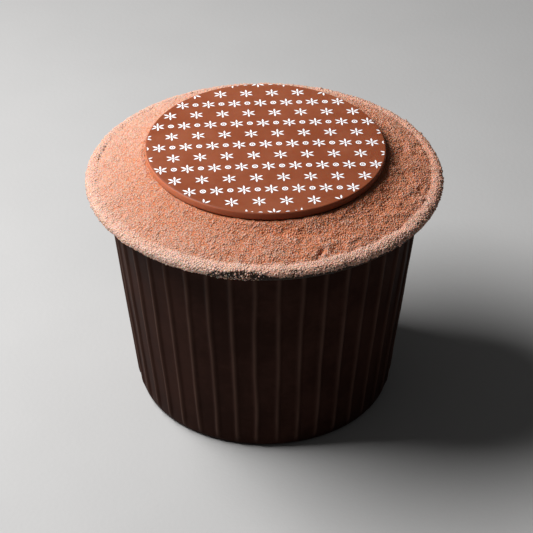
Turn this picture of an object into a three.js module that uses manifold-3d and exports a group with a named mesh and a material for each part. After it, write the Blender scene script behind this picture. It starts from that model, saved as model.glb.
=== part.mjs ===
// A chocolate mousse dessert in its fluted chocolate cup, with a thin round chocolate plaque on top.
// Millimetres, +Z up. The origin is the centre of the cup's base, on the surface that it stands on.
//
//   cup      a tapered shell with a thick floor and narrow upright ribs, up to a flat rim
//   mousse   fills the cup and bulges over the rim as a wide cap: a rounded edge, a flat ledge
//            just inside it and a rising shoulder, all under a lumpy dusting
//   plaque   a thin, faintly domed disc that lies on the cap, tilted a little to the front right

import * as THREE from 'three';
import { mergeVertices } from 'three/addons/utils/BufferGeometryUtils.js';
import Module from 'manifold-3d';

// Clearance between pieces that touch
const GAP = 0.3;

// Cup
const CUP_HEIGHT = 49.5;
const CUP_BASE_RADIUS = 27.9; // over the ribs
const CUP_RIM_RADIUS = 33.6; // over the ribs
const CUP_WALL = 2.0; // between the ribs
const CUP_FLOOR = 2.6;
const CUP_FOOT_ROUND = 1.3; // radius of the rounded bottom edge
const RIB_COUNT = 41;
const RIB_HEIGHT = 0.55;
const RIB_WIDTH_SHARE = 0.38; // of the pitch from rib to rib
const RIB_FADE = 2.4; // height over which a rib grows out of the foot
const RIB_TURN = -93.4; // degrees from +X to the middle of a rib

// Mousse: the cap over the rim
const CAP_RADIUS = 38.0;
const EDGE_REACH = 2.15; // how far the cap's rounded edge reaches out from its crest
const EDGE_HALF = 1.58; // half the height of the rounded edge
const LEDGE = { radius: 35.2, height: 52.95 }; // foot of the shoulder
const SHOULDER_SLOPES = { foot: 1.25, top: 1.6 }; // against a straight cone from the ledge to the plaque

// Lumps of the dusting: two layers of soft bumps, by distance apart and height
const LUMPS = [
  { spacing: 5.2, height: 0.2, seed: 11 },
  { spacing: 2.9, height: 0.16, seed: 47 },
];
const LUMP_FADE = 1.6; // distance over which the lumps die out beside the plaque and the edge

// Plaque
const PLAQUE_RADIUS = 25.3;
const PLAQUE_THICKNESS = 1.7; // at its edge
const PLAQUE_DOME = 0.5; // how much higher its middle is
const PLAQUE_TOP = 58.8; // height of its top edge at the middle of the cup
const PLAQUE_ROUND = 0.3; // radius of its edges
const PLAQUE_SHIFT_X = 0.28;
const PLAQUE_RISE_X = -0.0109; // rise for each millimetre of +X
const PLAQUE_RISE_Y = 0.0178; // rise for each millimetre of +Y
const PLAQUE_MARGIN = 0.9; // the flat seat in the mousse is this much wider

// Fineness of the faceted shapes
const MOUSSE_SIDES = 144;
const CAVITY_SIDES = 72;
const PLAQUE_SIDES = 80;
const EDGE_STEPS = 8;
const ROUND_STEPS = 2;
const DOME_RINGS = 3;
const SHOULDER_RINGS = 9;
const LEDGE_RINGS = 1;

const RADIANS = Math.PI / 180;
const CAP_UNDERSIDE = CUP_HEIGHT + GAP;
const CREST = { radius: CAP_RADIUS - EDGE_REACH, height: CAP_UNDERSIDE + 2 * EDGE_HALF };
const SEAT_RADIUS = PLAQUE_RADIUS + PLAQUE_MARGIN;

const wasm = await Module();
wasm.setup();

// ---------------------------------------------------------------- helpers

/** Turns an outline of [radius, height] points into a solid of revolution about +Z. */
function turned(outline, sides) {
  const points = outline.map(([radius, height]) => new THREE.Vector2(radius, height));
  return new THREE.LatheGeometry(points, sides).rotateX(Math.PI / 2);
}

/** Moves every vertex of a geometry: place(x, y, z) returns the new [x, y, z]. */
function reshaped(geometry, place) {
  const position = geometry.attributes.position;
  for (let i = 0; i < position.count; i += 1) {
    position.setXYZ(i, ...place(position.getX(i), position.getY(i), position.getZ(i)));
  }
  return geometry;
}

/** Points on an arc in the outline's plane, both ends included; an ellipse if rise differs from reach. */
function arc(centreRadius, centreHeight, reach, fromDegrees, toDegrees, steps, rise = reach) {
  return Array.from({ length: steps + 1 }, (_, i) => {
    const angle = (fromDegrees + ((toDegrees - fromDegrees) * i) / steps) * RADIANS;
    return [centreRadius + reach * Math.cos(angle), centreHeight + rise * Math.sin(angle)];
  });
}

/** A geometry with only shared positions, as joined and cut solids need. */
function welded(geometry) {
  const bare = geometry.clone();
  bare.deleteAttribute('normal');
  bare.deleteAttribute('uv');
  return mergeVertices(bare, 1e-5);
}

/** A manifold solid of a closed geometry. */
function solidOf(geometry) {
  const shared = welded(geometry);
  return new wasm.Manifold(new wasm.Mesh({
    numProp: 3,
    vertProperties: new Float32Array(shared.attributes.position.array),
    triVerts: new Uint32Array(shared.index.array),
  }));
}

/** The geometry of a manifold solid. */
function geometryOf(solid) {
  const { vertProperties, triVerts } = solid.getMesh();
  const geometry = new THREE.BufferGeometry();
  geometry.setAttribute('position', new THREE.BufferAttribute(new Float32Array(vertProperties), 3));
  geometry.setIndex(new THREE.BufferAttribute(new Uint32Array(triVerts), 1));
  geometry.computeVertexNormals();
  return geometry;
}

/** From 0 to 1 as value goes from low to high, with soft ends. */
function eased(low, high, value) {
  return THREE.MathUtils.smoothstep(value, low, high);
}

// ---------------------------------------------------------------- cup

/** Radius of the cup over its ribs, at a height. */
function ribRadius(height) {
  return THREE.MathUtils.lerp(CUP_BASE_RADIUS, CUP_RIM_RADIUS, height / CUP_HEIGHT);
}

/** Radius of the cup's inside, at a height. */
function cavityRadius(height) {
  return ribRadius(height) - RIB_HEIGHT - CUP_WALL;
}

/** Places along one pitch, as shares of it from the middle of a rib, and how far the rib stands there. */
const RIB_SECTION = [-1, -0.5, 0, 0.5, 1].map((side) => ({
  share: (side * RIB_WIDTH_SHARE) / 2,
  stand: 0.5 + 0.5 * Math.cos(side * Math.PI),
}));

/** The outside of the cup: a turned taper, drawn in between the ribs. */
function flutedBody() {
  const sides = RIB_COUNT * RIB_SECTION.length;
  const foot = arc(
    ribRadius(CUP_FOOT_ROUND) - CUP_FOOT_ROUND, CUP_FOOT_ROUND, CUP_FOOT_ROUND, -90, 0, ROUND_STEPS + 1);
  const outline = [
    [0, 0],
    ...foot,
    [ribRadius(RIB_FADE), RIB_FADE],
    [ribRadius(CUP_HEIGHT), CUP_HEIGHT],
    [0, CUP_HEIGHT],
  ];
  const pitch = (2 * Math.PI) / RIB_COUNT;
  return reshaped(turned(outline, sides), (x, y, z) => {
    const radius = Math.hypot(x, y);
    if (radius < 1e-6) return [0, 0, z];
    const step = Math.round(((Math.atan2(y, x) + 2 * Math.PI) / (2 * Math.PI)) * sides);
    const { share, stand } = RIB_SECTION[step % RIB_SECTION.length];
    const angle = (Math.floor(step / RIB_SECTION.length) + share) * pitch + RIB_TURN * RADIANS;
    const raised = stand * eased(0, RIB_FADE, z);
    const drawnIn = radius - RIB_HEIGHT * (1 - raised);
    return [drawnIn * Math.cos(angle), drawnIn * Math.sin(angle), z];
  });
}

function cupGeometry() {
  const cavity = turned([
    [0, CUP_FLOOR],
    [cavityRadius(CUP_FLOOR), CUP_FLOOR],
    [cavityRadius(CUP_HEIGHT + 1), CUP_HEIGHT + 1],
    [0, CUP_HEIGHT + 1],
  ], CAVITY_SIDES);
  return geometryOf(solidOf(flutedBody()).subtract(solidOf(cavity)));
}

// ---------------------------------------------------------------- mousse

/** A repeatable random height from -1 to 1 for one crossing of a lumps grid. */
function crossingHeight(column, row, seed) {
  const mixed = Math.sin(column * 127.1 + row * 311.7 + seed * 74.7) * 43758.5453;
  return 2 * (mixed - Math.floor(mixed)) - 1;
}

/** Soft bumps: random heights on a square grid, eased from crossing to crossing. */
function bumps(x, y, { spacing, height, seed }) {
  const column = Math.floor(x / spacing);
  const row = Math.floor(y / spacing);
  const across = eased(0, 1, x / spacing - column);
  const along = eased(0, 1, y / spacing - row);
  const near = THREE.MathUtils.lerp(
    crossingHeight(column, row, seed), crossingHeight(column + 1, row, seed), across);
  const far = THREE.MathUtils.lerp(
    crossingHeight(column, row + 1, seed), crossingHeight(column + 1, row + 1, seed), across);
  return height * 0.5 * THREE.MathUtils.lerp(near, far, along);
}

/** Height of the plaque's underside, if it went on past its edge. */
function plaqueUnderside(x, y) {
  return PLAQUE_TOP - PLAQUE_THICKNESS + PLAQUE_RISE_X * x + PLAQUE_RISE_Y * y;
}

/** The shoulder's rise from 0 at its foot to 1 at its top, steep at both ends. */
function shoulderRise(share) {
  const { foot, top } = SHOULDER_SLOPES;
  return share * (foot + share * (3 - 2 * foot - top + share * (foot + top - 2)));
}

/** Height of the smooth cap, without lumps, from the middle out to the crest of its edge. */
function smoothCap(x, y) {
  const radius = Math.hypot(x, y);
  const fromPlaque = Math.hypot(x - PLAQUE_SHIFT_X, y);
  const seat = plaqueUnderside(x, y) - GAP;
  if (fromPlaque <= SEAT_RADIUS) return seat;
  if (radius <= LEDGE.radius) {
    const inward = (LEDGE.radius - radius) / (LEDGE.radius - radius + fromPlaque - SEAT_RADIUS);
    return THREE.MathUtils.lerp(LEDGE.height, seat, shoulderRise(inward));
  }
  return THREE.MathUtils.lerp(LEDGE.height, CREST.height, eased(LEDGE.radius, CREST.radius, radius));
}

/** The cap with its lumps, which die out on the seat and at the crest. */
function capHeight(x, y) {
  const fromPlaque = Math.hypot(x - PLAQUE_SHIFT_X, y);
  const fade = eased(SEAT_RADIUS, SEAT_RADIUS + LUMP_FADE, fromPlaque)
    * (1 - eased(CREST.radius - LUMP_FADE, CREST.radius, Math.hypot(x, y)));
  const lumps = LUMPS.reduce((sum, layer) => sum + bumps(x, y, layer), 0);
  return smoothCap(x, y) + fade * lumps;
}

function mousseGeometry() {
  const bottom = CUP_FLOOR + GAP;
  const ledge = ringRadii(CREST.radius, LEDGE.radius, LEDGE_RINGS);
  const shoulder = ringRadii(LEDGE.radius, SEAT_RADIUS + PLAQUE_SHIFT_X, SHOULDER_RINGS);
  // The cap's rings are turned flat, at the plaque's height, and then let down to their own
  const rings = [...ledge, ...shoulder, 0].map((radius) => [radius, PLAQUE_TOP]);
  const outline = [
    [0, bottom],
    [cavityRadius(bottom) - GAP, bottom],
    [cavityRadius(CAP_UNDERSIDE) - GAP, CAP_UNDERSIDE],
    ...arc(CREST.radius, CAP_UNDERSIDE + EDGE_HALF, EDGE_REACH, -90, 90, EDGE_STEPS, EDGE_HALF),
    ...rings,
  ];
  return reshaped(turned(outline, MOUSSE_SIDES), (x, y, z) => (
    z > CREST.height + GAP ? [x, y, capHeight(x, y)] : [x, y, z]
  ));
}

/** Radii from one to another in equal steps, without the first. */
function ringRadii(from, to, steps) {
  return Array.from({ length: steps }, (_, i) => from + ((to - from) * (i + 1)) / steps);
}

// ---------------------------------------------------------------- plaque

/** The disc about its own middle, with its flat underside at -PLAQUE_THICKNESS. */
function plaqueGeometry() {
  const inner = PLAQUE_RADIUS - PLAQUE_ROUND;
  const dome = ringRadii(inner, 0, DOME_RINGS).map((radius) => [
    radius, PLAQUE_DOME * (1 - (radius / inner) ** 2),
  ]);
  return turned([
    [0, -PLAQUE_THICKNESS],
    ...arc(inner, PLAQUE_ROUND - PLAQUE_THICKNESS, PLAQUE_ROUND, -90, 0, ROUND_STEPS),
    ...arc(inner, -PLAQUE_ROUND, PLAQUE_ROUND, 0, 90, ROUND_STEPS),
    ...dome,
  ], PLAQUE_SIDES);
}

// ---------------------------------------------------------------- materials and assembly

const darkChocolate = new THREE.MeshStandardMaterial({ color: 0x2b1c16, roughness: 0.42, metalness: 0 });
const dustedMousse = new THREE.MeshStandardMaterial({ color: 0xc99680, roughness: 0.95, metalness: 0 });
const milkChocolate = new THREE.MeshStandardMaterial({ color: 0x8a5038, roughness: 0.45, metalness: 0 });

function named(name, geometry, material) {
  const mesh = new THREE.Mesh(geometry, material);
  mesh.name = name;
  return mesh;
}

const cup = named('cup', cupGeometry(), darkChocolate);
const mousse = named('mousse', mousseGeometry(), dustedMousse);
const plaque = named('plaque', plaqueGeometry(), milkChocolate);
plaque.position.set(PLAQUE_SHIFT_X, 0, PLAQUE_TOP + PLAQUE_RISE_X * PLAQUE_SHIFT_X);
plaque.rotation.set(Math.atan(PLAQUE_RISE_Y), -Math.atan(PLAQUE_RISE_X), 0);

const dessert = new THREE.Group();
dessert.add(cup, mousse, plaque);

export default dessert;
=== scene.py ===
"""A chocolate mousse in its ribbed chocolate cup, under a thin printed chocolate plaque.

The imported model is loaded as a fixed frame. Every piece is modelled around it, in metres,
and one operator makes each piece. The panel in the 3D view's sidebar lists them.
"""

import math

import bmesh
import bpy
import numpy as np
from bpy.props import FloatProperty, FloatVectorProperty, IntProperty, PointerProperty
from mathutils import Matrix, Vector


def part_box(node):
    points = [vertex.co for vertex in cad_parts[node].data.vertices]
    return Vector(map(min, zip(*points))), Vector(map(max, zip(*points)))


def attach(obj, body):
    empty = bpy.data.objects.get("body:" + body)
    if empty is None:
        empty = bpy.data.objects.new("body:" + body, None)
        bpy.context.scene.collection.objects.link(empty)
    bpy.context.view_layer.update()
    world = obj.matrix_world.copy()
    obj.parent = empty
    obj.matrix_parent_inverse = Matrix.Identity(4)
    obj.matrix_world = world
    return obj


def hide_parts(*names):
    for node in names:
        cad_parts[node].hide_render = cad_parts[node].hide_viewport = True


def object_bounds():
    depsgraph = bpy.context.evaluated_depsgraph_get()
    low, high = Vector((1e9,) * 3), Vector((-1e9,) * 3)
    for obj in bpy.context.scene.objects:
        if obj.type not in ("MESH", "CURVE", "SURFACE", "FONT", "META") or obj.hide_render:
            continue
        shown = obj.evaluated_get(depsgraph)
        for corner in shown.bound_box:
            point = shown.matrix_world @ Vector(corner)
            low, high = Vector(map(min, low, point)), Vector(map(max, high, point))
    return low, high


bl_info = {
    "name": "Chocolate Mousse",
    "version": (1, 0, 0),
    "blender": (4, 5, 0),
    "location": "View3D > Sidebar > Dessert",
    "description": "Models a dusted chocolate mousse in a ribbed chocolate cup, with its plaque",
    "category": "Object",
}

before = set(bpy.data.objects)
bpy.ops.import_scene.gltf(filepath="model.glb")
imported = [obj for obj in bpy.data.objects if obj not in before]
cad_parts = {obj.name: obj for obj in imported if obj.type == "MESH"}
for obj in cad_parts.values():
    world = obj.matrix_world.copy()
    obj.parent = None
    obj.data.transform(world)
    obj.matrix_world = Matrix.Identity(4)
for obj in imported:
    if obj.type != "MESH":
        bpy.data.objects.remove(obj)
cad_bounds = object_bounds()

MM = 0.001
TAU = 2 * math.pi
_, CUP_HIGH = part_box("cup")
MOUSSE_LOW, MOUSSE_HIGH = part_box("mousse")
PLAQUE_LOW, PLAQUE_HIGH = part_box("plaque")

# How the plaque lies: its rise for each metre of +X and +Y, and its middle's shift from the axis
PLAQUE_RISE = Vector((-0.0109, 0.0178))
PLAQUE_SHIFT = (PLAQUE_LOW.x + PLAQUE_HIGH.x) / 2

# Bearings round the dessert, in degrees from +X
FRONT_RIGHT, FRONT, FRONT_LEFT, LEFT, BACK_LEFT = -32, -75, -138, -160, 170


# ---------------------------------------------------------------- settings


def length(name, description, millimetres):
    """A size in metres, given in millimetres."""
    return FloatProperty(name=name, description=description, default=millimetres * MM, unit="LENGTH")


def colour(name, description, red, green, blue):
    """A linear colour."""
    return FloatVectorProperty(
        name=name, description=description, default=(red, green, blue), subtype="COLOR", min=0, max=1)


def angle(name, description, degrees):
    """An angle, given in degrees."""
    return FloatProperty(
        name=name, description=description, default=math.radians(degrees), subtype="ANGLE")


class CupSettings(bpy.types.PropertyGroup):
    """Sizes and colours of the cup."""

    base_radius: length("Base radius", "Radius over the ribs where the cup stands", 27.9)
    wall: length("Wall", "Thickness of the wall between the ribs", 2.0)
    floor: length("Floor", "Thickness of the floor", 2.6)
    foot_round: length("Foot round", "Radius of the rounded bottom edge", 1.3)
    rim_round: length("Rim round", "Radius of the rounded rim", 0.6)
    rib_count: IntProperty(name="Ribs", description="How many ribs go round", default=41, min=3)
    rib_height: length("Rib height", "How far a rib stands out of the wall", 0.55)
    rib_share: FloatProperty(
        name="Rib width", description="Width of a rib as a share of the pitch", default=0.38,
        min=0.05, max=0.9, subtype="FACTOR")
    rib_wander: length("Rib wander", "How far a rib strays sideways on its way up", 0.16)
    chocolate: colour("Chocolate", "Dark chocolate of the cup", 0.0235, 0.0094, 0.0066)
    bloom: colour("Bloom", "Cloudy film on the chocolate", 0.042, 0.0182, 0.0134)
    # Rubbed: a painted highlight, paler chocolate along the ribs' crests where they would catch the light
    crest_highlight: colour("Rubbed", "Chocolate rubbed dull and pale on the ribs' crests", 0.095, 0.053, 0.040)


class MousseSettings(bpy.types.PropertyGroup):
    """Sizes and colours of the mousse and its dusting."""

    edge_reach: length("Edge reach", "How far the cap's rounded edge reaches out", 2.15)
    edge_half: length("Edge half", "Half the height of the cap's rounded edge", 1.58)
    ledge_radius: length("Ledge radius", "Where the shoulder meets the flat ledge inside the edge", 35.2)
    ledge_height: length("Ledge height", "Height of the ledge above the table", 52.95)
    grain_room: length("Grain room", "How far the bare mousse lies under the cap's full size", 0.35)
    coat: length("Coat", "Thickness of the powder under the loose grains", 0.15)
    fineness: length("Fineness", "Distance between the mesh rings of the cap", 0.20)
    mousse: colour("Mousse", "Bare dark mousse", 0.042, 0.027, 0.021)
    powder_thin: colour("Powder, thin", "Thin powder that the mousse shows through", 0.25, 0.155, 0.12)
    # Deep and light: the two ends of the powder's tone, which paints shade in the hollows and light on the
    # tops, as well as the powder's own uneven tone
    powder_deep_shaded: colour("Powder, deep", "Powder in the hollows", 0.485, 0.165, 0.080)
    powder_light_lit: colour("Powder, light", "Powder on the tops of the grains", 0.515, 0.308, 0.236)
    powder_pale: colour("Powder, pale", "Dry greyish powder along the outer edge", 0.72, 0.51, 0.425)


class PowderSettings(bpy.types.PropertyGroup):
    """The loose grains on the dusting."""

    grain_size: length("Grain size", "Width of a common grain", 0.46)
    grain_spacing: length("Grain spacing", "Least distance between common grains", 0.42)
    dust_size: length("Dust size", "Width of a fine grain", 0.31)
    dust_spacing: length("Dust spacing", "Least distance between fine grains", 0.31)
    clump_size: length("Clump size", "Width of a clump", 0.8)
    clump_spacing: length("Clump spacing", "Least distance between clumps", 2.6)
    seed: IntProperty(name="Seed", description="Start of the random draws", default=20)


class PlaqueSettings(bpy.types.PropertyGroup):
    """Sizes and colours of the plaque."""

    radius: length("Radius", "Radius of the disc", 25.3)
    thickness: length("Thickness", "Thickness at the edge", 1.7)
    dome: length("Dome", "How much higher the middle is than the edge", 0.42)
    edge_round: length("Edge round", "Radius of the rounded edges", 0.34)
    chocolate: colour("Chocolate", "Milk chocolate of the plaque", 0.205, 0.052, 0.021)
    bloom: colour("Bloom", "Paler patches of the milk chocolate", 0.250, 0.072, 0.032)
    # Worn: painted light, the colour of the plaque's side where it faces the light on the left
    painted_lit_side: colour("Worn", "Chocolate of the plaque's side where powder clings to it", 0.52, 0.165, 0.080)


class PrintSettings(bpy.types.PropertyGroup):
    """The white pattern on the plaque: a diamond lattice of small flowers with rings between them."""

    lattice_wide: length("Lattice width", "Distance across from flower to flower", 5.6)
    lattice_tall: length("Lattice height", "Distance along from flower to flower", 8.4)
    flower_size: length("Flower size", "Width of a flower", 3.3)
    petals: IntProperty(name="Petals", description="How many petals a flower has", default=6, min=3)
    ring_size: length("Ring size", "Width of a ring", 1.25)
    stroke: length("Stroke", "Width of a ring's line", 0.24)
    margin: length("Margin", "Plain rim left at the edge of the disc", 0.36)
    film: length("Film", "How far the print stands out of the chocolate", 0.03)
    turn: angle("Turn", "Turn of the lattice", 4)
    ink: colour("Ink", "White of the print", 0.92, 0.94, 0.97)


class StageSettings(bpy.types.PropertyGroup):
    """Camera, floor and light."""

    camera_distance: length("Camera distance", "From the aim point to the camera", 500)
    camera_rise: angle("Camera rise", "Angle of the camera above the table", 34.52)
    aim_height: length("Aim height", "Height of the point that the camera looks at", 28.0)
    aim_side: length("Aim side", "How far that point lies to the right of the axis", 0.43)
    lens: FloatProperty(
        name="Lens", description="Focal length in millimetres", default=155.2, unit="CAMERA")
    floor_tone: colour("Floor", "Colour of the floor", 0.42, 0.416, 0.412)
    key_bearing: angle("Key bearing", "Where the main light stands, round from +X", 170)
    key_rise: angle("Key rise", "Height of the main light as an angle", 53)
    key_distance: length("Key distance", "From the dessert to the main light", 389)
    key_wide: length("Key width", "Width of the main light", 282)
    key_tall: length("Key height", "Height of the main light", 130)
    key_power: FloatProperty(
        name="Key light", description="Power of the main light", default=2.89, unit="POWER")
    sky: FloatProperty(name="Sky", description="Strength of the even light all round", default=0.06)


# ---------------------------------------------------------------- numbers


def eased(low, high, value):
    """From 0 to 1 as value goes from low to high, with soft ends. Works on numbers and arrays."""
    share = np.clip((value - low) / (high - low), 0.0, 1.0)
    return share * share * (3 - 2 * share)


def crossing_heights(column, row, layer, seed):
    """Repeatable random heights from -1 to 1 for the crossings of a grid."""
    mixed = np.sin(column * 127.1 + row * 311.7 + layer * 269.5 + seed * 74.7) * 43758.5453
    return 2 * (mixed - np.floor(mixed)) - 1


def soft_noise(points, spacing, seed):
    """Soft random heights from -1 to 1 at each point, with bumps about one spacing apart."""
    scaled = points / spacing
    cell = np.floor(scaled)
    share = eased(0, 1, scaled - cell)
    total = np.zeros(len(points))
    for corner in np.ndindex(2, 2, 2):
        weight = np.prod(np.where(np.array(corner) == 1, share, 1 - share), axis=1)
        total += weight * crossing_heights(*(cell + corner).T, seed)
    return total


def radii(points):
    """The distance of each point from the axis."""
    return np.hypot(points[:, 0], points[:, 1])


def bearings(points):
    """Where each point lies round the axis, in degrees from +X."""
    return np.degrees(np.arctan2(points[:, 1], points[:, 0]))


def bearing_gap(points, degrees):
    """How far round, in degrees, each point is from a bearing."""
    return np.abs((bearings(points) - degrees + 180) % 360 - 180)


# ---------------------------------------------------------------- mesh helpers


def turned(outline, steps):
    """A bmesh of an outline of (radius, height) points, spun about the Z axis."""
    bm = bmesh.new()
    chain = [bm.verts.new((radius, 0, height)) for radius, height in outline]
    for near, far in zip(chain, chain[1:]):
        bm.edges.new((near, far))
    bmesh.ops.spin(
        bm, geom=bm.verts[:] + bm.edges[:], axis=(0, 0, 1), cent=(0, 0, 0), dvec=(0, 0, 0),
        angle=TAU, steps=steps, use_merge=True)
    bmesh.ops.remove_doubles(bm, verts=bm.verts, dist=1e-7)
    bmesh.ops.recalc_face_normals(bm, faces=bm.faces)
    return bm


def arc(centre_radius, centre_height, reach, start, stop, steps, rise=None):
    """Outline points on an arc, in degrees from +radius towards +height, both ends included.

    It is round, or an ellipse if it rises otherwise than it reaches out.
    """
    rise = reach if rise is None else rise
    angles = np.radians(np.linspace(start, stop, steps + 1))
    return [(centre_radius + reach * math.cos(a), centre_height + rise * math.sin(a)) for a in angles]


def line(start, stop, steps):
    """Outline points on a straight line, without the first."""
    shares = np.linspace(0, 1, steps + 1)[1:]
    return [(start[0] + (stop[0] - start[0]) * s, start[1] + (stop[1] - start[1]) * s) for s in shares]


def sort_by_place(bm):
    """Numbers vertices and faces by where they are, because merging can number them otherwise each run."""
    for number, vert in enumerate(sorted(bm.verts, key=lambda vert: vert.co[:])):
        vert.index = number
    bm.verts.sort()
    for number, face in enumerate(sorted(bm.faces, key=lambda face: sorted(v.index for v in face.verts))):
        face.index = number
    bm.faces.sort()


def piece_of(bm, name, smooth=True):
    """An object at the origin that holds a bmesh, which is used up."""
    sort_by_place(bm)
    mesh = bpy.data.meshes.new(name)
    bm.to_mesh(mesh)
    bm.free()
    piece = bpy.data.objects.new(name, mesh)
    bpy.context.scene.collection.objects.link(piece)
    mesh.polygons.foreach_set("use_smooth", np.full(len(mesh.polygons), smooth))
    return piece


def vertex_rows(mesh, kind):
    """One row for each vertex of a mesh: its place, "co", or its "normal"."""
    flat = np.zeros(len(mesh.vertices) * 3)
    mesh.vertices.foreach_get(kind, flat)
    return flat.reshape(-1, 3)


def places(mesh):
    """The places of a mesh's vertices, one row each."""
    return vertex_rows(mesh, "co")


def move_to(mesh, new_places):
    """Puts a mesh's vertices at new places."""
    mesh.vertices.foreach_set("co", new_places.ravel())
    mesh.update()


def paint(mesh, name, values):
    """Stores one number for each vertex, for the material to read."""
    attribute = mesh.attributes.new(name, "FLOAT", "POINT")
    attribute.data.foreach_set("value", values.astype(np.float32))


def finish_piece(piece, slot, material, *nodes):
    """Gives a piece its material and its place in the frame, and hides the nodes that it stands for."""
    piece.data.materials.append(material)
    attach(piece, "root")
    if nodes:
        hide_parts(*nodes)


# ---------------------------------------------------------------- node helpers


def node_of(tree, kind, **settings):
    """A new node with its properties set."""
    node = tree.nodes.new(kind)
    for name, value in settings.items():
        setattr(node, name, value)
    return node


def tune(node, **values):
    """Sets a node's own plain values, each by its socket's name with _ for a space."""
    for name, value in values.items():
        node.inputs[name.replace("_", " ")].default_value = value


def object_places(tree):
    """Object coordinates, which keep a pattern on its piece."""
    return node_of(tree, "ShaderNodeTexCoord").outputs["Object"]


def noise_at(tree, vector, scale, detail=2.0, roughness=0.5):
    """The value of a noise texture; scale is in bumps for each metre."""
    texture = node_of(tree, "ShaderNodeTexNoise")
    tree.links.new(vector, texture.inputs["Vector"])
    tune(texture, Scale=scale, Detail=detail, Roughness=roughness)
    return texture.outputs["Fac"]


def ranged(tree, value, low, high, to_low=0.0, to_high=1.0):
    """A value moved from one range to another, and held inside it."""
    node = node_of(tree, "ShaderNodeMapRange", interpolation_type="SMOOTHSTEP")
    tree.links.new(value, node.inputs["Value"])
    for name, number in (("From Min", low), ("From Max", high), ("To Min", to_low), ("To Max", to_high)):
        if isinstance(number, bpy.types.NodeSocket):
            tree.links.new(number, node.inputs[name])
        else:
            node.inputs[name].default_value = number
    return node.outputs["Result"]


def blended(tree, share, first, second):
    """A mix of two colours, each a socket or a plain colour."""
    node = node_of(tree, "ShaderNodeMix", data_type="RGBA")
    tree.links.new(share, node.inputs["Factor"])
    for slot, value in ((6, first), (7, second)):
        if isinstance(value, bpy.types.NodeSocket):
            tree.links.new(value, node.inputs[slot])
        else:
            node.inputs[slot].default_value = (*value, 1)
    return node.outputs[2]


def sum_of(tree, first, second, share=1.0):
    """first + second * share."""
    node = node_of(tree, "ShaderNodeMath", operation="MULTIPLY_ADD")
    tree.links.new(second, node.inputs[0])
    node.inputs[1].default_value = share
    tree.links.new(first, node.inputs[2])
    return node.outputs[0]


def effect_group(name, inputs, outputs):
    """An empty shader node group with named sockets, and its input and output nodes."""
    group = bpy.data.node_groups.new(name, "ShaderNodeTree")
    for socket, kind, default in inputs:
        made = group.interface.new_socket(socket, in_out="INPUT", socket_type=kind)
        made.default_value = (*default, 1) if kind == "NodeSocketColor" else default
    for socket, kind in outputs:
        group.interface.new_socket(socket, in_out="OUTPUT", socket_type=kind)
    return group, group.nodes.new("NodeGroupInput"), group.nodes.new("NodeGroupOutput")


def placed(tree, group, **values):
    """A node group placed in a material, with its own values."""
    node = node_of(tree, "ShaderNodeGroup", node_tree=group)
    for name, value in values.items():
        socket = node.inputs[name.replace("_", " ")]
        if isinstance(value, bpy.types.NodeSocket):
            tree.links.new(value, socket)
        else:
            socket.default_value = (*value, 1) if socket.type == "RGBA" else value
    return node


def material_of(name):
    """A new material, its tree, its Principled shader and a Bump node that feeds its normal."""
    material = bpy.data.materials.new(name)
    material.use_nodes = True
    tree = material.node_tree
    shader = tree.nodes["Principled BSDF"]
    bump = node_of(tree, "ShaderNodeBump")
    tree.links.new(bump.outputs["Normal"], shader.inputs["Normal"])
    return material, tree, shader, bump


def attribute_of(tree, name):
    """The numbers that paint() stored on the mesh."""
    return node_of(tree, "ShaderNodeAttribute", attribute_name=name).outputs["Fac"]


# ---------------------------------------------------------------- finishes


CLOUDS, MOTTLES, PORES = 75, 420, 2600  # of chocolate, in bumps for each metre
GRANULES, FLECKS, DRIFTS = 2300, 4200, 160  # of powder
CHOCOLATE_IOR = 1.46


def chocolate_effect():
    """Moulded chocolate: broad cloudy patches, faint streaks and fine pores, for colour, gloss and relief."""
    name = "Moulded chocolate"
    if name in bpy.data.node_groups:
        return bpy.data.node_groups[name]
    group, given, result = effect_group(
        name,
        [
            ("Chocolate", "NodeSocketColor", (0.1, 0.05, 0.03)),
            ("Bloom", "NodeSocketColor", (0.2, 0.1, 0.06)),
            ("Bloom cover", "NodeSocketFloat", 0.5),
            ("Smooth", "NodeSocketFloat", 0.3),
            ("Dull", "NodeSocketFloat", 0.5),
        ],
        [("Colour", "NodeSocketColor"), ("Roughness", "NodeSocketFloat"), ("Relief", "NodeSocketFloat")])
    where = object_places(group)
    cloud = noise_at(group, where, CLOUDS, 4.0, 0.6)
    mottle = noise_at(group, where, MOTTLES, 3.0, 0.6)
    pores = noise_at(group, where, PORES)
    patches = ranged(group, sum_of(group, cloud, mottle, 0.35), 0.52, 0.86)
    cover = node_of(group, "ShaderNodeMath", operation="MULTIPLY")
    group.links.new(patches, cover.inputs[0])
    group.links.new(given.outputs["Bloom cover"], cover.inputs[1])
    tone = blended(group, cover.outputs[0], given.outputs["Chocolate"], given.outputs["Bloom"])
    group.links.new(tone, result.inputs["Colour"])
    gloss = ranged(
        group, sum_of(group, cloud, mottle, 0.5), 0.45, 1.0, given.outputs["Smooth"], given.outputs["Dull"])
    group.links.new(gloss, result.inputs["Roughness"])
    group.links.new(sum_of(group, mottle, pores, 0.25), result.inputs["Relief"])
    return group


def granules_at(tree, vector, scale):
    """Rounded bumps packed side by side, from 0 between them to 1 on top."""
    texture = node_of(tree, "ShaderNodeTexVoronoi", feature="SMOOTH_F1")
    tree.links.new(vector, texture.inputs["Vector"])
    tune(texture, Scale=scale, Smoothness=0.35)
    return ranged(tree, texture.outputs["Distance"], 0.05, 0.75, 1.0, 0.0)


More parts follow.
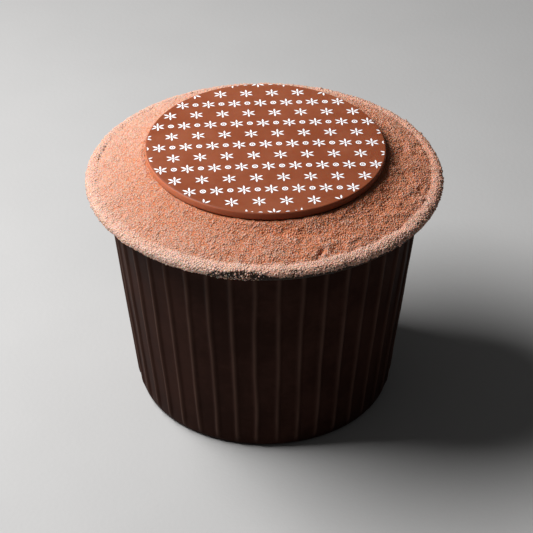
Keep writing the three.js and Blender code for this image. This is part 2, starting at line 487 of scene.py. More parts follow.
def powder_effect():
    """Fine powder: packed granules, with painted shade between them and painted light on their tops."""
    name = "Fine powder"
    if name in bpy.data.node_groups:
        return bpy.data.node_groups[name]
    group, given, result = effect_group(
        name,
        [
            ("Tone", "NodeSocketFloat", 0.5),
            ("Pale share", "NodeSocketFloat", 0.0),
            ("Deep", "NodeSocketColor", (0.3, 0.1, 0.08)),
            ("Light", "NodeSocketColor", (0.7, 0.4, 0.3)),
            ("Pale", "NodeSocketColor", (0.6, 0.5, 0.4)),
        ],
        [("Colour", "NodeSocketColor"), ("Relief", "NodeSocketFloat")])
    where = object_places(group)
    granules = granules_at(group, where, GRANULES)
    fleck = noise_at(group, where, FLECKS, 2.0, 0.6)
    drift = noise_at(group, where, DRIFTS, 3.0, 0.55)
    # Painted shade between the granules and painted light on their tops, with a random drift of tone
    tone = sum_of(group, sum_of(group, given.outputs["Tone"], granules, 0.85), drift, 0.4)
    warm = blended(group, ranged(group, tone, 0.52, 1.62), given.outputs["Deep"], given.outputs["Light"])
    group.links.new(
        blended(group, given.outputs["Pale share"], warm, given.outputs["Pale"]), result.inputs["Colour"])
    group.links.new(sum_of(group, granules, fleck, 0.5), result.inputs["Relief"])
    return group


def moulded_chocolate(name, settings, mask, masked, **values):
    """Satin chocolate, with a painted highlight of another colour where the mesh's mask says so, and its
    shader and bump.
    """
    material, tree, shader, bump = material_of(name)
    finish = placed(
        tree, chocolate_effect(), Chocolate=settings.chocolate[:], Bloom=settings.bloom[:], **values)
    tree.links.new(
        blended(tree, attribute_of(tree, mask), finish.outputs["Colour"], masked),
        shader.inputs["Base Color"])
    tree.links.new(finish.outputs["Roughness"], shader.inputs["Roughness"])
    tree.links.new(finish.outputs["Relief"], bump.inputs["Height"])
    tune(shader, IOR=CHOCOLATE_IOR)
    return material, shader, bump


def dark_chocolate(settings):
    """Satin dark chocolate of the cup, with a painted highlight along the crests of the ribs."""
    material, shader, bump = moulded_chocolate(
        "Dark chocolate", settings, "crest", settings.crest_highlight[:], Bloom_cover=0.8, Smooth=0.40, Dull=0.55)
    tune(bump, Strength=0.25, Distance=0.04 * MM)
    tune(shader, Specular_IOR_Level=0.025, Specular_Tint=(1.0, 0.70, 0.58, 1))
    return material


def milk_chocolate(settings):
    """Satin milk chocolate of the plaque, with its side painted lighter towards the left, where the light
    falls on it.
    """
    material, shader, bump = moulded_chocolate(
        "Milk chocolate", settings, "painted_highlight_share", settings.painted_lit_side[:], Bloom_cover=0.7, Smooth=0.36, Dull=0.55)
    tune(bump, Strength=0.2, Distance=0.03 * MM)
    tune(
        shader, Specular_IOR_Level=0.2, Subsurface_Weight=0.35, Subsurface_Radius=(1.0, 0.30, 0.10),
        Subsurface_Scale=1 * MM)
    return material


def white_print(settings):
    """The thin white print, a little uneven in its cover."""
    material, tree, shader, bump = material_of("White print")
    where = object_places(tree)
    cover = noise_at(tree, where, 1400, 3.0, 0.6)
    thin = [channel * 0.86 for channel in settings.ink]
    tree.links.new(
        blended(tree, ranged(tree, cover, 0.35, 0.55), thin, settings.ink[:]), shader.inputs["Base Color"])
    tree.links.new(cover, bump.inputs["Height"])
    tune(bump, Strength=0.1, Distance=0.02 * MM)
    tune(shader, Roughness=0.5)
    return material


def powdered(tree, settings, shader, bump):
    """The colour of powder for a material; its relief and its warm glow go to the bump and the shader."""
    powder = placed(
        tree, powder_effect(), Tone=attribute_of(tree, "tone"), Pale_share=attribute_of(tree, "pale"),
        Deep=settings.powder_deep_shaded[:], Light=settings.powder_light_lit[:], Pale=settings.powder_pale[:])
    tree.links.new(powder.outputs["Relief"], bump.inputs["Height"])
    tune(
        shader, Subsurface_Weight=0.5, Subsurface_Radius=(1.0, 0.40, 0.22), Subsurface_Scale=0.3 * MM)
    return powder.outputs["Colour"]


def dusted_mousse(settings):
    """Dark mousse under its coat of powder; the mesh says where the coat is and how high each place lies, for
    painted shade in the hollows.
    """
    material, tree, shader, bump = material_of("Dusted mousse")
    powder = powdered(tree, settings, shader, bump)
    cover = attribute_of(tree, "dusting")
    thin = blended(tree, ranged(tree, cover, 0.1, 0.55), settings.mousse[:], settings.powder_thin[:])
    tree.links.new(blended(tree, ranged(tree, cover, 0.45, 0.9), thin, powder), shader.inputs["Base Color"])
    tree.links.new(ranged(tree, cover, 0.0, 0.6, 0.5, 0.95), shader.inputs["Roughness"])
    tune(bump, Strength=1.0, Distance=0.17 * MM)
    tune(shader, Specular_IOR_Level=0.06)
    return material


def loose_powder(settings):
    """Grains of powder, each with a tone of its own and the painted light and shade of its place."""
    material, tree, shader, bump = material_of("Loose powder")
    tree.links.new(powdered(tree, settings, shader, bump), shader.inputs["Base Color"])
    tune(bump, Strength=0.8, Distance=0.08 * MM)
    tune(shader, Roughness=0.93, Specular_IOR_Level=0.15)
    return material


# ---------------------------------------------------------------- cup


RIB_TURN = math.radians(-93.4)  # bearing of the first rib
RIB_COLUMNS = 18  # of the mesh, to a rib with its gap
WALL_RINGS = 44  # of the mesh, up the wall
WALL_RADIUS = 30 * MM  # half way up
RIB_BEND = 11 * MM  # height between two bends of a wandering rib
RIBS_APART = 9  # in the noise, so that each rib wanders by itself


def rib_radius(settings, height):
    """Radius of the cup over its ribs, at a height."""
    return settings.base_radius + (CUP_HIGH.x - settings.base_radius) * height / CUP_HIGH.z


def cup_outline(settings):
    """The cup's section: under the foot, up the outside, over the rim and down the inside."""
    foot, rim = settings.foot_round, settings.rim_round
    top = CUP_HIGH.z
    inner = [rib_radius(settings, h) - settings.rib_height - settings.wall for h in (settings.floor, top)]
    outside_top = rib_radius(settings, top)
    foot_arc = arc(rib_radius(settings, foot) - foot, foot, foot, -90, 0, 6)
    wall_top = (rib_radius(settings, top - rim), top - rim)
    return [
        (0, 0),
        *foot_arc,
        *line(foot_arc[-1], wall_top, WALL_RINGS),
        *arc(outside_top - rim, top - rim, rim, 15, 90, 4),
        (inner[1], top),
        *line((inner[1], top), (inner[0], settings.floor), 3),
        (0, settings.floor),
    ]


class DESSERT_OT_cup(bpy.types.Operator):
    """Model the ribbed chocolate cup"""

    bl_idname = "dessert.cup"
    bl_label = "Chocolate cup"

    def execute(self, context):
        settings = context.scene.dessert_cup
        cup = piece_of(turned(cup_outline(settings), settings.rib_count * RIB_COLUMNS), "chocolate_cup")
        fluted, crest = self.fluted(places(cup.data), settings)
        move_to(cup.data, fluted)
        paint(cup.data, "crest", crest)
        finish_piece(cup, "dark_chocolate", dark_chocolate(settings), "cup")
        return {"FINISHED"}

    def fluted(self, points, settings):
        """The points with the wall drawn in between the ribs, and how near each is to a rib's crest, where
        the highlight is painted.

        The ribs wander and vary a little, as in a handmade mould.
        """
        radius, height = radii(points), points[:, 2]
        outside = radius > rib_radius(settings, height) - settings.rib_height - settings.wall / 2
        bearing = np.arctan2(points[:, 1], points[:, 0])
        pitch = TAU / settings.rib_count
        rib = np.round((bearing - RIB_TURN) / pitch) % settings.rib_count
        along = np.column_stack([rib * RIBS_APART, np.zeros(len(rib)), height / RIB_BEND])
        stray = soft_noise(along, 1.0, 5) * settings.rib_wander * eased(0, 6 * MM, CUP_HIGH.z - height)
        from_rib = (bearing - RIB_TURN - stray / WALL_RADIUS) / pitch
        from_rib = np.abs(from_rib - np.round(from_rib)) / (settings.rib_share / 2)
        stand = 0.5 + 0.5 * np.cos(np.pi * np.clip(from_rib, 0, 1))
        strength = 0.88 + 0.12 * soft_noise(along, 1.0, 8)
        rise = eased(0.6 * MM, 3.0 * MM, height)
        swell = 0.05 * MM * soft_noise(points, 9 * MM, 13) + 0.02 * MM * soft_noise(points, 3 * MM, 14)
        drawn_in = settings.rib_height * (1 - stand * strength * rise) - swell * rise
        scale = np.where(outside & (radius > 1e-6), (radius - drawn_in) / np.maximum(radius, 1e-6), 1.0)
        # The painted highlight along the crests, uneven from place to place
        painted_highlight_share = 0.75 + 0.25 * soft_noise(points, 4 * MM, 17)
        crest = np.where(outside, stand ** 2 * strength * rise * painted_highlight_share, 0)
        return points * np.column_stack([scale, scale, np.ones(len(scale))]), crest


# ---------------------------------------------------------------- mousse


LUMPS = ((5.2 * MM, 0.2 * MM, 11), (2.9 * MM, 0.16 * MM, 47))  # spacing, height and seed
LUMP_FADE = 1.6 * MM
SEAT_MARGIN = 0.9 * MM
SHOULDER_FOOT, SHOULDER_TOP = 1.25, 1.6  # slopes at its ends, against a straight cone
WALL_CLEARANCE, RIM_CLEARANCE = 0.1 * MM, 0.15 * MM
CAP_UNDERSIDE = CUP_HIGH.z + 0.3 * MM
LIP_STARTS, LIP_ENDS = (-109, -104), (-96, -84)  # bearings over which the lip comes and goes
PATCH_RADIUS, PATCH_WIDE = 35.6 * MM, 0.8 * MM
# Where the painted shading turns from deeper inwards, by the plaque, to lighter outwards
TONE_RADIUS = 31  # in millimetres, where the powder has its middle tone
# The coat's tone, lower than the grains', so that the coat between the grains is painted as shade
MIDDLE_TONE = 0.41


def plaque_middle(settings):
    """Height of the middle of the plaque's top, at the level of its edge."""
    return PLAQUE_LOW.z + settings.thickness + settings.radius * PLAQUE_RISE.length


def plaque_underside(points):
    """Height of the plaque's flat underside over each point, as if it went on past its edge."""
    settings = bpy.context.scene.dessert_plaque
    level = plaque_middle(settings) - settings.thickness
    return level + (points[:, 0] - PLAQUE_SHIFT) * PLAQUE_RISE.x + points[:, 1] * PLAQUE_RISE.y


def beyond_plaque(points):
    """Distance of each point outwards from the plaque's edge."""
    return np.hypot(points[:, 0] - PLAQUE_SHIFT, points[:, 1]) - bpy.context.scene.dessert_plaque.radius


def cap_edge(settings):
    """Radius and height of the middle of the cap's rounded edge."""
    return MOUSSE_HIGH.x - settings.edge_reach, CAP_UNDERSIDE + settings.edge_half


def shoulder_rise(share):
    """The shoulder's rise from 0 at its foot to 1 at its top, steep at both ends."""
    foot, top = SHOULDER_FOOT, SHOULDER_TOP
    return share * (foot + share * (3 - 2 * foot - top + share * (foot + top - 2)))


def cap_height(points, settings):
    """Height of the bare cap, from the middle out to the crest of its edge, with its broad lumps."""
    crest_radius, edge_height = cap_edge(settings)
    foot_radius, foot_height = settings.ledge_radius, settings.ledge_height
    radius = radii(points)
    out_of_seat = beyond_plaque(points) - SEAT_MARGIN
    to_foot = np.maximum(foot_radius - radius, 0)
    inward = to_foot / np.maximum(to_foot + np.maximum(out_of_seat, 0), 1e-9)
    shoulder = foot_height + (plaque_underside(points) - foot_height) * shoulder_rise(inward)
    to_crest = edge_height + settings.edge_half - foot_height
    ledge = foot_height + to_crest * eased(foot_radius, crest_radius, radius)
    smooth = np.where(radius <= foot_radius, shoulder, ledge)
    fade = eased(0, LUMP_FADE, out_of_seat) * (1 - eased(crest_radius - LUMP_FADE, crest_radius, radius))
    lumps = sum(
        height * 0.5 * soft_noise(points * (1, 1, 0), spacing, seed) for spacing, height, seed in LUMPS)
    return smooth + fade * lumps - settings.grain_room


def mousse_outline(settings):
    """The mousse's section: the plug in the cup, the overhang, the edge and flat rings to the middle."""
    cup = bpy.context.scene.dessert_cup
    bottom = MOUSSE_LOW.z
    crest_radius, edge_height = cap_edge(settings)
    reach = settings.edge_reach - settings.grain_room
    half = settings.edge_half - settings.grain_room
    underside = CUP_HIGH.z + RIM_CLEARANCE
    plug = [rib_radius(cup, h) - cup.rib_height - cup.wall - WALL_CLEARANCE for h in (bottom, underside)]
    seat = bpy.context.scene.dessert_plaque.radius - 0.6 * MM
    rings = round((crest_radius - seat) / settings.fineness)
    return [
        (0, bottom),
        (plug[0], bottom),
        (plug[1], underside),
        *arc(crest_radius, edge_height, reach, -90, 0, 11, rise=edge_height - underside),
        *arc(crest_radius, edge_height, reach, 0, 90, 12, rise=half)[1:],
        *line((crest_radius, PLAQUE_HIGH.z), (seat, PLAQUE_HIGH.z), rings),
        (0, PLAQUE_HIGH.z),
    ]


def thickness(points, settings):
    """From 0 to 1, how thick the powder lies.

    It lies thin on the outer flank, most of all at the front and right, and in a patch at the back
    left. It ends below the edge, and higher up along an almost bare lip at the front.
    """
    radius, bearing = radii(points), bearings(points)
    crest_radius, edge_height = cap_edge(settings)
    front_right = 1 - eased(50, 78, bearing_gap(points, FRONT_RIGHT))
    flank = 1 - eased(0.55, 0.95, (points[:, 2] - edge_height) / settings.edge_half)
    patch = 1 - eased(7, 14, bearing_gap(points, BACK_LEFT))
    thin = flank * (0.08 + 0.44 * front_right) * (radius > crest_radius)
    thin = thin + 0.58 * patch * np.exp(-(((radius - PATCH_RADIUS) / PATCH_WIDE) ** 2))
    lip = eased(*LIP_STARTS, bearing) * (1 - eased(*LIP_ENDS, bearing))
    edge = edge_height + (-0.75 + 0.4 * front_right + 1.35 * lip) * MM
    edge = edge + 0.10 * MM * soft_noise(points, 2.4 * MM, 61) + 0.12 * MM * soft_noise(points, 0.6 * MM, 62)
    above = np.maximum(eased(-0.3 * MM, 0.35 * MM, points[:, 2] - edge), 0.36 * lip)
    return np.clip(1 - thin, 0, 1) * np.where(radius > crest_radius, above, 1)


def to_front_right(points):
    """How far each point lies to the front right, from -1 to 1 across the cap."""
    return (0.92 * points[:, 0] - 0.39 * points[:, 1]) / MOUSSE_HIGH.x


def painted_shading(points):
    """Painted light and shade on the powder, place by place: lighter at the back left where the light comes
    from, painted shade at the front right, and deeper inwards towards the plaque as painted shade.
    """
    outwards = radii(points) / MM - TONE_RADIUS
    return 0.03 * np.clip(outwards, -5, 5) - 0.33 * to_front_right(points)


def paleness(points):
    """From 0 to 1, how much of the powder is dry and greyish: the rim, most of all at the front."""
    radius = radii(points)
    rim = eased(34.8 * MM, 35.8 * MM, radius) * (1 - 0.5 * eased(30, 80, bearing_gap(points, FRONT)))
    outer = eased(36.5 * MM, 37.5 * MM, radius) * (1 - eased(25, 48, bearing_gap(points, FRONT_LEFT)))
    return 0.48 * rim + 0.20 * outer


def dusting_cover(points, settings):
    """From 0, bare mousse, to 1, covered: small bare specks where the powder lies thin."""
    depth = thickness(points, settings)
    fleck = 0.5 + 0.36 * soft_noise(points, 0.36 * MM, 71) + 0.08 * soft_noise(points, 0.9 * MM, 72)
    return eased(-0.12, 0.12, depth - 0.72 * fleck)


def powder_relief(points):
    """Height of the powder's crumbly surface, fine over coarse; it is roughest at the front right."""
    inside = 1 - eased(35.4 * MM, 36.8 * MM, radii(points))
    rough = 0.85 + 0.15 * inside + (0.9 * eased(-0.2, 0.9, to_front_right(points)) - 0.15) * inside
    coarse = (
        0.075 * soft_noise(points, 0.75 * MM, 82)
        + 0.10 * soft_noise(points, 1.3 * MM, 83)
        + 0.11 * soft_noise(points, 2.5 * MM, 84))
    return MM * (0.03 * soft_noise(points, 0.42 * MM, 81) + coarse * rough)


DENT_MIDDLE = (11.3 * MM, -31.9 * MM)
DENT_ALONG = (0.54, 0.84)
DENT_LONG, DENT_WIDE, DENT_DEEP = 1.1 * MM, 0.42 * MM, 0.75 * MM


def dent_depth(points):
    """Depth of the long dent in the powder at the front right."""
    offset = points[:, :2] - DENT_MIDDLE
    along = offset[:, 0] * DENT_ALONG[0] + offset[:, 1] * DENT_ALONG[1]
    across = offset[:, 1] * DENT_ALONG[0] - offset[:, 0] * DENT_ALONG[1]
    return DENT_DEEP * np.exp(-((along / DENT_LONG) ** 2) - (across / DENT_WIDE) ** 2)


class DESSERT_OT_mousse(bpy.types.Operator):
    """Model the mousse that fills the cup and bulges over its rim, with its coat of powder"""

    bl_idname = "dessert.mousse"
    bl_label = "Mousse"

    def execute(self, context):
        settings = context.scene.dessert_mousse
        steps = round(TAU * settings.ledge_radius / settings.fineness)
        mousse = piece_of(turned(mousse_outline(settings), steps), "mousse_cap")
        mesh = mousse.data
        points = places(mesh)
        on_cap = points[:, 2] > PLAQUE_HIGH.z - 1 * MM  # the outline's flat rings
        points[on_cap, 2] = cap_height(points[on_cap], settings)
        move_to(mesh, points)
        shown = (points[:, 2] > CUP_HIGH.z + 0.4 * MM) & (beyond_plaque(points) > -0.5 * MM)
        cover = np.where(shown, dusting_cover(points, settings), 0.0)
        relief = powder_relief(points)
        bare_relief = 0.04 * MM * soft_noise(points, 0.9 * MM, 91)
        lift = cover * (settings.coat + relief) + (1 - cover) * bare_relief - dent_depth(points)
        move_to(mesh, points + vertex_rows(mesh, "normal") * (lift * shown)[:, None])
        paint(mesh, "dusting", cover)
        paint(mesh, "thickness", np.where(shown, thickness(points, settings), 0.0))
        # The tone paints shade in the coat's hollows, deeper the lower the relief, and adds the painted light
        # and shade by place
        paint(mesh, "tone", np.clip(MIDDLE_TONE + relief / (0.8 * MM) + painted_shading(points), 0, 1))
        paint(mesh, "pale", paleness(points))
        finish_piece(mousse, "dusted_mousse", dusted_mousse(settings), "mousse")
        return {"FINISHED"}


# ---------------------------------------------------------------- powder


MOST_GRAINS = 9800  # of one kind, with 20 faces each
GRAIN_SIZES = 0.22  # spread of the sizes of one kind
GRAIN_STRETCH, GRAIN_DENTS = (0.7, 1.25), (0.78, 1.18)
# Grains are painted lighter than the coat under them, whose deeper tone between the grains is painted shade
GRAIN_TONE, GRAIN_TONES = 0.76, 0.16  # the middle tone, and the spread about it
SHALLOW = 0.3 * MM  # no grain lies where the dent is deeper


def surface_draws(mesh, rng, count, weight_of):
    """Random places on a mesh with their normals, by area times weight_of(place, thickness).

    The triangles are sorted first, so that each run draws the same places.
    """
    mesh.calc_loop_triangles()
    corners = np.zeros(len(mesh.loop_triangles) * 3, np.int32)
    mesh.loop_triangles.foreach_get("vertices", corners)
    corners = corners.reshape(-1, 3)
    lowest_first = (corners.argmin(axis=1)[:, None] + np.arange(3)) % 3
    corners = np.take_along_axis(corners, lowest_first, axis=1)
    corners = corners[np.lexsort(corners.T[::-1])]
    points = places(mesh)
    depth = np.zeros(len(points), np.float32)
    mesh.attributes["thickness"].data.foreach_get("value", depth)
    a, b, c = (points[corners[:, i]] for i in range(3))
    across = np.cross(b - a, c - a)
    area = np.linalg.norm(across, axis=1)
    weight = area * weight_of((a + b + c) / 3, depth[corners].mean(axis=1))
    chosen = rng.choice(len(corners), size=count, p=weight / weight.sum())
    u, v = rng.random(count), rng.random(count)
    folded = u + v > 1
    u, v = np.where(folded, 1 - u, u), np.where(folded, 1 - v, v)
    at = a[chosen] + (b - a)[chosen] * u[:, None] + (c - a)[chosen] * v[:, None]
    return at, across[chosen] / area[chosen][:, None]


def spread_out(points, spacing):
    """Which points to keep so that no two are nearer than spacing, first come first kept."""
    cells = {}
    kept = []
    for index, (point, cell) in enumerate(zip(points, np.floor(points / spacing).astype(int))):
        around = (
            cells.get((cell[0] + i, cell[1] + j, cell[2] + k), ())
            for i in (-1, 0, 1) for j in (-1, 0, 1) for k in (-1, 0, 1))
        if any(math.dist(point, points[other]) < spacing for near in around for other in near):
            continue
        cells.setdefault(tuple(cell), []).append(index)
        kept.append(index)
    return np.array(kept)


def random_turns(rng, count):
    """Random rotation matrices."""
    w, x, y, z = (rng.normal(size=(4, count)) + 1e-9)
    size = np.sqrt(w * w + x * x + y * y + z * z)
    w, x, y, z = w / size, x / size, y / size, z / size
    rows = [
        [1 - 2 * (y * y + z * z), 2 * (x * y - z * w), 2 * (x * z + y * w)],
        [2 * (x * y + z * w), 1 - 2 * (x * x + z * z), 2 * (y * z - x * w)],
        [2 * (x * z - y * w), 2 * (y * z + x * w), 1 - 2 * (x * x + y * y)],
    ]
    return np.array(rows).transpose(2, 0, 1)


def grain_shape():
    """The places and triangles of a plain round grain, one unit wide."""
    bm = bmesh.new()
    bmesh.ops.create_icosphere(bm, subdivisions=1, radius=0.5)
    shape = np.array([vert.co[:] for vert in bm.verts])
    faces = np.array([[vert.index for vert in face.verts] for face in bm.faces])
    bm.free()
    return shape, faces


def heap_of_grains(name, at, outward, size, sink, rng):
    """One mesh of many grains: each turned, stretched and dented at random, and sunk in the coat."""
    shape, faces = grain_shape()
    count = len(at)
    sizes = size * np.exp(rng.normal(0, GRAIN_SIZES, count))
    stretch = rng.uniform(*GRAIN_STRETCH, (count, 1, 3))
    dents = rng.uniform(*GRAIN_DENTS, (count, len(shape), 1))
    local = shape[None] * stretch * dents
    turned_shapes = np.einsum("nij,nvj->nvi", random_turns(rng, count), local)
    centres = at + outward * (sizes * (0.5 - sink))[:, None]
    vertices = centres[:, None] + turned_shapes * sizes[:, None, None]
    reach = np.hypot(vertices[..., 0], vertices[..., 1])
    held_in = np.minimum(1, MOUSSE_HIGH.x / reach)[..., None]
    vertices *= np.concatenate([held_in, held_in, np.ones_like(held_in)], axis=2)
    mesh = bpy.data.meshes.new(name)
    triangles = (faces[None] + len(shape) * np.arange(count)[:, None, None]).reshape(-1, 3)
    mesh.from_pydata(vertices.reshape(-1, 3).tolist(), [], triangles.tolist())
    mesh.polygons.foreach_set("use_smooth", np.full(len(mesh.polygons), True))
    # Each grain's own random tone, plus the painted light and shade of its place
    tone = rng.normal(GRAIN_TONE, GRAIN_TONES, count) + painted_shading(at)
    paint(mesh, "tone", np.repeat(np.clip(tone, 0, 1), len(shape)))
    paint(mesh, "pale", np.repeat(paleness(at), len(shape)))
    piece = bpy.data.objects.new(name, mesh)
    bpy.context.scene.collection.objects.link(piece)
    return piece


class DESSERT_OT_powder(bpy.types.Operator):
    """Scatter the loose powder over the mousse: common grains, two layers of fine ones, and clumps"""

    bl_idname = "dessert.powder"
    bl_label = "Powder"

    def execute(self, context):
        settings = context.scene.dessert_powder
        mesh = bpy.data.objects["mousse_cap"].data
        material = loose_powder(context.scene.dessert_mousse)
        # Name, width, least distance, draws, how deep a grain sinks, how much it keeps off thin powder
        kinds = (
            ("powder_grains", settings.grain_size, settings.grain_spacing, 60000, 0.70, 2.5),
            ("powder_dust", settings.dust_size, settings.dust_spacing, 24000, 0.64, 1.2),
            ("powder_fines", settings.dust_size, settings.dust_spacing, 24000, 0.66, 1.2),
            ("powder_clumps", settings.clump_size, settings.clump_spacing, 1500, 0.74, 3.0),
        )
        for order, (name, size, spacing, draws, sink, shyness) in enumerate(kinds):
            rng = np.random.default_rng(settings.seed + order)
            at, outward = surface_draws(
                mesh, rng, draws,
                lambda middle, depth: depth ** shyness * (
                    (beyond_plaque(middle) > 0.7 * size) & (dent_depth(middle) < SHALLOW)))
            kept = spread_out(at, spacing)[:MOST_GRAINS]
            heap = heap_of_grains(name, at[kept], outward[kept], size, sink, rng)
            finish_piece(heap, "dusted_mousse", material)
        return {"FINISHED"}


# ---------------------------------------------------------------- plaque


def plaque_dome(settings, radius):
    """How high the plaque's top is over its edge, at a radius."""
    inner = settings.radius - settings.edge_round
    return settings.dome * (1 - np.minimum(radius / inner, 1) ** 2)


def laid_down(settings):
    """The place of the plaque: its middle's shift and height and its slight tilt."""
    tilt_front = Matrix.Rotation(math.atan(PLAQUE_RISE.y), 4, "X")
    tilt_side = Matrix.Rotation(-math.atan(PLAQUE_RISE.x), 4, "Y")
    return Matrix.Translation((PLAQUE_SHIFT, 0, plaque_middle(settings))) @ tilt_front @ tilt_side


class DESSERT_OT_plaque(bpy.types.Operator):
    """Model the thin chocolate plaque"""

    bl_idname = "dessert.plaque"
    bl_label = "Plaque"

    def execute(self, context):
        settings = context.scene.dessert_plaque
        inner, edge = settings.radius - settings.edge_round, settings.edge_round
        outline = [
            (0, -settings.thickness),
            (inner * 0.6, -settings.thickness),
            *arc(inner, edge - settings.thickness, edge, -90, 0, 5),
            *arc(inner, -edge, edge, 0, 90, 6),
            *[(r, float(plaque_dome(settings, r))) for r in np.linspace(inner, 0, 22)[1:]],
        ]
        plaque = piece_of(turned(outline, 288), "chocolate_plaque")
        points = places(plaque.data)
        on_side = (points[:, 2] < -0.3 * edge) & (radii(points) > inner)
        # The side is painted lighter towards the left, where the light falls on it
        paint(plaque.data, "painted_highlight_share", on_side * (1 - eased(20, 110, bearing_gap(points, LEFT))))
        points[:, 2] += 0.02 * MM * soft_noise(points, 7 * MM, 31) * (points[:, 2] > -edge)
        move_to(plaque.data, points)
        plaque.data.transform(laid_down(settings))
        finish_piece(plaque, "milk_chocolate", milk_chocolate(settings), "plaque")
        return {"FINISHED"}


# ---------------------------------------------------------------- print


PETAL_LONG, PETAL_WIDE, FLOWER_DOT = 0.40, 0.125, 0.13  # as shares of a flower's width
RING_DOT = 1.5  # as a share of the ring's stroke


def add_petal(bm, middle, turn, long, wide):
    """One flat petal with slim ends, pointing away from middle."""
    made = bmesh.ops.create_circle(bm, cap_ends=True, radius=1, segments=14)["verts"]
    for vert in made:
        vert.co.y *= 1 - 0.6 * vert.co.x ** 2
        vert.co = Vector((vert.co.x * long / 2 + long * 0.68, vert.co.y * wide / 2, 0))
    place = Matrix.Translation(middle) @ Matrix.Rotation(turn, 4, "Z")
    bmesh.ops.transform(bm, matrix=place, verts=made)


def add_dot(bm, middle, wide):
    """One flat round dot."""
    made = bmesh.ops.create_circle(bm, cap_ends=True, radius=wide / 2, segments=12)["verts"]
    bmesh.ops.translate(bm, vec=middle, verts=made)


def add_flower(bm, middle, wide, petals):
    """Slim petals set round a dot."""
    for petal in range(petals):
        add_petal(bm, middle, TAU * (petal + 0.5) / petals, wide * PETAL_LONG, wide * PETAL_WIDE)
    add_dot(bm, middle, wide * FLOWER_DOT)


def add_ring(bm, middle, wide, stroke):
    """One flat ring with a dot in it."""
    made = bmesh.ops.create_circle(bm, cap_ends=True, radius=wide / 2, segments=24)["verts"]
    bmesh.ops.translate(bm, vec=middle, verts=made)
    disc = made[0].link_faces[0]
    bmesh.ops.inset_individual(bm, faces=[disc], thickness=stroke)
    bmesh.ops.delete(bm, geom=[disc], context="FACES")
    add_dot(bm, middle, stroke * RING_DOT)


def trim_round(bm, radius, sides=96):
    """Cuts away what lies outside a circle."""
    for side in range(sides):
        outward = Vector((math.cos(TAU * side / sides), math.sin(TAU * side / sides), 0))
        bmesh.ops.bisect_plane(
            bm, geom=bm.verts[:] + bm.edges[:] + bm.faces[:], dist=1e-8,
            plane_co=outward * radius, plane_no=outward, clear_outer=True)


class DESSERT_OT_print(bpy.types.Operator):
    """Lay the white print on the plaque: small flowers with rings between them"""

    bl_idname = "dessert.print"
    bl_label = "Print"

    def execute(self, context):
        settings = context.scene.dessert_print
        plaque = context.scene.dessert_plaque
        limit = plaque.radius - settings.margin
        bm = bmesh.new()
        across, along = settings.lattice_wide / 2, settings.lattice_tall / 2
        columns, rows = math.ceil(limit / across), math.ceil(limit / along)
        for row in range(-rows, rows + 1):
            for column in range(-columns, columns + 1):
                middle = Vector((column * across, row * along, 0))
                if middle.length > limit + settings.flower_size:
                    continue
                if row % 2 == column % 2:
                    add_flower(bm, middle, settings.flower_size, settings.petals)
                elif row % 2 == 0:
                    add_ring(bm, middle, settings.ring_size, settings.stroke)
        bmesh.ops.rotate(bm, cent=(0, 0, 0), matrix=Matrix.Rotation(settings.turn, 3, "Z"), verts=bm.verts)
        trim_round(bm, limit)
        bmesh.ops.solidify(bm, geom=bm.faces[:], thickness=2 * settings.film)
        bmesh.ops.recalc_face_normals(bm, faces=bm.faces)
        pattern = piece_of(bm, "plaque_print", smooth=False)
        points = places(pattern.data)
        middle = (points[:, 2].min() + points[:, 2].max()) / 2
        points[:, 2] += plaque_dome(plaque, radii(points)) - middle
        move_to(pattern.data, points)
        pattern.data.transform(laid_down(plaque))
        finish_piece(pattern, "white_print", white_print(settings))
        return {"FINISHED"}


# ---------------------------------------------------------------- stage


def aimed(thing, place, aim):
    """Puts a light or camera at a place and turns it to look at aim."""
    thing.location = place
    thing.rotation_euler = (Vector(aim) - Vector(place)).to_track_quat("-Z", "Y").to_euler()


def soft_light(name, place, aim, wide, tall, power):
    """A soft light with four corners."""
    lamp = bpy.data.lights.new(name, "AREA")
    lamp.shape = "RECTANGLE"
    lamp.size, lamp.size_y, lamp.energy = wide, tall, power
    light = bpy.data.objects.new(name, lamp)
    bpy.context.scene.collection.objects.link(light)
    aimed(light, place, aim)


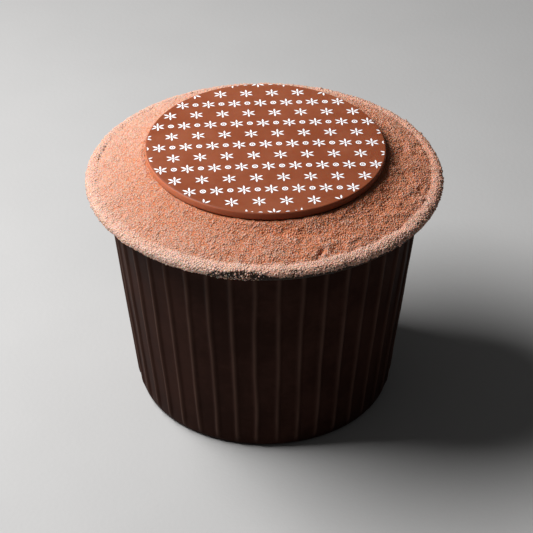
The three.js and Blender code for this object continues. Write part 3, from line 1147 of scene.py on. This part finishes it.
class DESSERT_OT_stage(bpy.types.Operator):
    """Set up the pale floor, the soft light and the camera"""

    bl_idname = "dessert.stage"
    bl_label = "Stage"

    def execute(self, context):
        settings = context.scene.dessert_stage
        self.floor(settings)
        middle = Vector((0, 0, (cad_bounds[0].z + cad_bounds[1].z) / 2))
        key = Vector((
            math.cos(settings.key_bearing) * math.cos(settings.key_rise),
            math.sin(settings.key_bearing) * math.cos(settings.key_rise),
            math.sin(settings.key_rise)))
        soft_light(
            "Key light", middle + key * settings.key_distance, middle,
            settings.key_wide, settings.key_tall, settings.key_power)
        world = bpy.data.worlds.new("Studio")
        world.use_nodes = True
        tune(world.node_tree.nodes["Background"], Color=(1, 1, 1, 1), Strength=settings.sky)
        context.scene.world = world
        context.scene.view_settings.view_transform = "Standard"
        self.camera(context, settings)
        return {"FINISHED"}

    def floor(self, settings):
        """A wide pale floor under the cup, with a faint unevenness in its tone."""
        bm = bmesh.new()
        bmesh.ops.create_grid(bm, x_segments=8, y_segments=8, size=3.0)
        floor = piece_of(bm, "floor")
        material, tree, shader, bump = material_of("Pale floor")
        where = object_places(tree)
        tone = ranged(tree, noise_at(tree, where, 30, 4.0), 0.3, 0.7)
        paler = [min(1, channel * 1.03) for channel in settings.floor_tone]
        tree.links.new(blended(tree, tone, settings.floor_tone[:], paler), shader.inputs["Base Color"])
        tree.links.new(noise_at(tree, where, 900), bump.inputs["Height"])
        tune(bump, Distance=0.03 * MM)
        tune(shader, Roughness=0.75)
        floor.data.materials.append(material)

    def camera(self, context, settings):
        """A long lens that looks down on the cup from the front."""
        data = bpy.data.cameras.new("Camera")
        data.lens = settings.lens
        data.clip_start, data.clip_end = 0.01, 10
        camera = bpy.data.objects.new("Camera", data)
        context.scene.collection.objects.link(camera)
        aim = Vector((settings.aim_side, 0, settings.aim_height))
        back = Vector((0, -math.cos(settings.camera_rise), math.sin(settings.camera_rise)))
        aimed(camera, aim + back * settings.camera_distance, aim)
        context.scene.camera = camera


# ---------------------------------------------------------------- panel and registering


class DESSERT_PT_panel(bpy.types.Panel):
    """The dessert's pieces and their settings"""

    bl_idname = "DESSERT_PT_panel"
    bl_label = "Chocolate Mousse"
    bl_space_type = "VIEW_3D"
    bl_region_type = "UI"
    bl_category = "Dessert"

    def draw(self, context):
        for name, _, operator in PARTS:
            box = self.layout.box()
            box.operator(operator.bl_idname)
            settings = getattr(context.scene, name)
            for field in settings.__annotations__:
                box.prop(settings, field)


PARTS = (
    ("dessert_cup", CupSettings, DESSERT_OT_cup),
    ("dessert_mousse", MousseSettings, DESSERT_OT_mousse),
    ("dessert_powder", PowderSettings, DESSERT_OT_powder),
    ("dessert_plaque", PlaqueSettings, DESSERT_OT_plaque),
    ("dessert_print", PrintSettings, DESSERT_OT_print),
    ("dessert_stage", StageSettings, DESSERT_OT_stage),
)


def register():
    """Registers the settings, the operators and the panel."""
    for name, group, operator in PARTS:
        bpy.utils.register_class(group)
        bpy.utils.register_class(operator)
        setattr(bpy.types.Scene, name, PointerProperty(type=group))
    bpy.utils.register_class(DESSERT_PT_panel)


def unregister():
    """Takes back what register() did."""
    bpy.utils.unregister_class(DESSERT_PT_panel)
    for name, group, operator in reversed(PARTS):
        delattr(bpy.types.Scene, name)
        bpy.utils.unregister_class(operator)
        bpy.utils.unregister_class(group)


def main():
    """Makes every piece in order."""
    register()
    bpy.ops.dessert.cup()
    bpy.ops.dessert.mousse()
    bpy.ops.dessert.powder()
    bpy.ops.dessert.plaque()
    bpy.ops.dessert.print()
    bpy.ops.dessert.stage()


if __name__ == "__main__":
    main()
